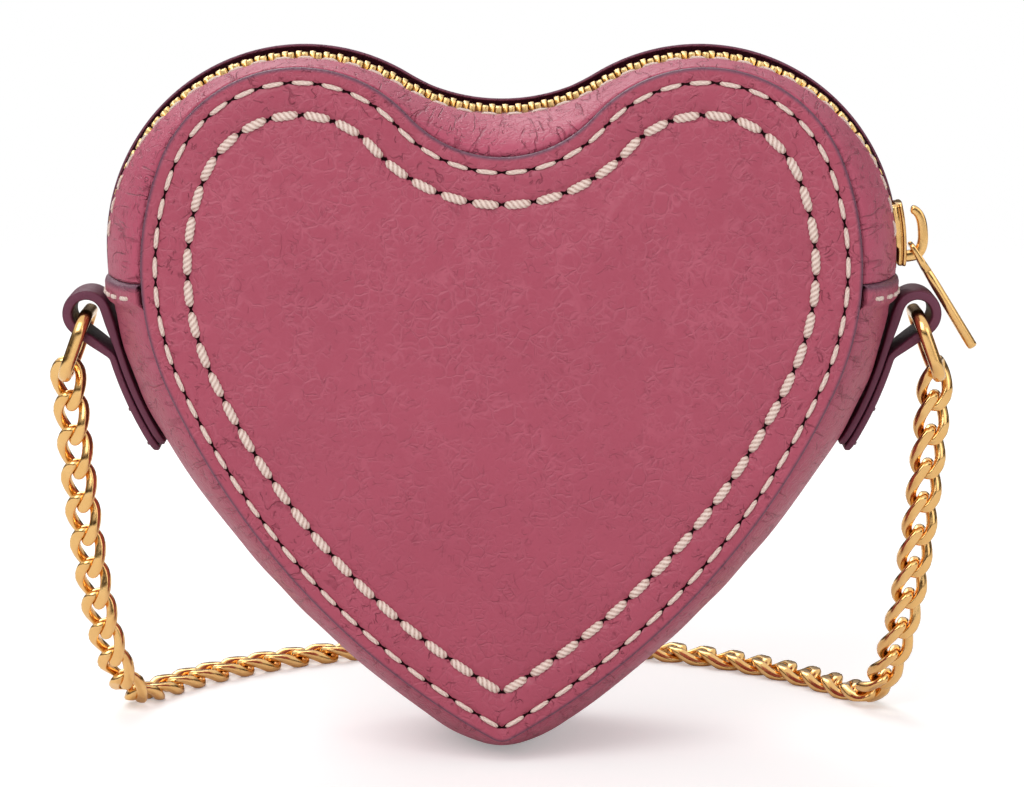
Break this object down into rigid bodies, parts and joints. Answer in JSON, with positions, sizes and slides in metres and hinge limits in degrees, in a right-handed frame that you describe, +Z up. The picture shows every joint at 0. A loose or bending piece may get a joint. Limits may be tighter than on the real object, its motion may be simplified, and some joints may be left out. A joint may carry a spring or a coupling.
{
  "type": "heart shaped purse",
  "caption": "Small heart shaped leather purse with a zip over its top edge, a slider with a hanging pull, leather tab loops, end rings and a chain strap.",
  "frame": {"origin": "the lowest point of the heart's tip, on the floor, half way through the purse's depth", "axes": "+X to the right of the front view, where the slider is, +Y out of the back panel, +Z up from the tip through the notch"},
  "size_m": [0.1664, 0.094, 0.1257],
  "materials": {
    "panel_leather": "semi-gloss, tumbled pebble grain",
    "gusset_leather": "semi-gloss, soft grain with fine cross wrinkles",
    "tab_leather": "satin, smooth",
    "zip_tape": "matt woven tape",
    "zip_metal": "polished, gold tone",
    "ring_metal": "polished, gold tone",
    "chain_metal": "polished, gold tone",
    "cream_thread": "waxed, low sheen",
    "tab_thread": "waxed, low sheen",
    "stiffener_board": "matt fibre board",
    "lining_cloth": "matt woven cloth"
  },
  "bodies": {
    "bag": {"front_panel": "panel_leather", "back_panel": "panel_leather", "bottom_gusset": "gusset_leather", "zip_strip_front": "gusset_leather", "zip_strip_back": "gusset_leather", "zip_tape_front": "zip_tape", "zip_tape_back": "zip_tape", "zip_teeth_front": "zip_metal", "zip_teeth_back": "zip_metal", "zip_end_stops": "zip_metal", "left_tab_loop": "tab_leather", "right_tab_loop": "tab_leather", "tab_threads": "tab_thread", "front_board": "stiffener_board", "back_board": "stiffener_board", "lining_front": "lining_cloth", "lining_back": "lining_cloth", "lining_gusset": "lining_cloth", "lining_top_front": "lining_cloth", "lining_top_back": "lining_cloth", "front_seam_thread": "cream_thread", "front_rope_thread": "cream_thread", "back_seam_thread": "cream_thread", "back_rope_thread": "cream_thread", "zip_strip_threads": "cream_thread", "fold_threads": "cream_thread"},
    "slider": {"slider_top_plate": "zip_metal", "slider_bottom_plate": "zip_metal", "slider_bridge": "zip_metal"},
    "pull": {"pull_tab": "zip_metal"},
    "end_rings": {"left_end_ring": "ring_metal", "right_end_ring": "ring_metal"},
    "first_links": {"chain_links_first": "chain_metal"},
    "second_links": {"chain_links_second": "chain_metal"},
    "third_links": {"chain_links_third": "chain_metal"},
    "strap": {"strap_left_drop": "chain_metal", "strap_right_drop": "chain_metal", "strap_floor_run": "chain_metal"}
  },
  "joints": [
    {"name": "slider_travel", "type": "hinge", "parent": "bag", "child": "slider", "pos_m": [0.03527, 0, 0.08922], "axis": [0, -1, 0], "range_deg": [0, 106]},
    {"name": "pull_swing", "type": "hinge", "parent": "slider", "child": "pull", "pos_m": [0.07335, 0, 0.08964], "axis": [0, -1, 0], "range_deg": [0, 105]},
    {"name": "ring_tilt", "type": "hinge", "parent": "bag", "child": "end_rings", "pos_m": [0, 0, 0.07761], "axis": [1, 0, 0], "range_deg": [0, 2.75]},
    {"name": "link_turn_1", "type": "hinge", "parent": "end_rings", "child": "first_links", "pos_m": [0, 0, 0.06671], "axis": [1, 0, 0], "range_deg": [0, 22]},
    {"name": "link_turn_2", "type": "hinge", "parent": "first_links", "child": "second_links", "pos_m": [0, 0.00087, 0.06156], "axis": [1, 0, 0], "range_deg": [0, 22]},
    {"name": "link_turn_3", "type": "hinge", "parent": "second_links", "child": "third_links", "pos_m": [0, 0.00183, 0.05517], "axis": [1, 0, 0], "range_deg": [0, 22]},
    {"name": "strap_swing", "type": "hinge", "parent": "third_links", "child": "strap", "pos_m": [0, 0.00289, 0.0488], "axis": [1, 0, 0], "range_deg": [0, 22]}
  ],
  "couplings": [
    {"joint": "ring_tilt", "follows": "strap_swing", "ratio": 0.125},
    {"joint": "link_turn_1", "follows": "strap_swing", "ratio": 1},
    {"joint": "link_turn_2", "follows": "strap_swing", "ratio": 1},
    {"joint": "link_turn_3", "follows": "strap_swing", "ratio": 1}
  ]
}
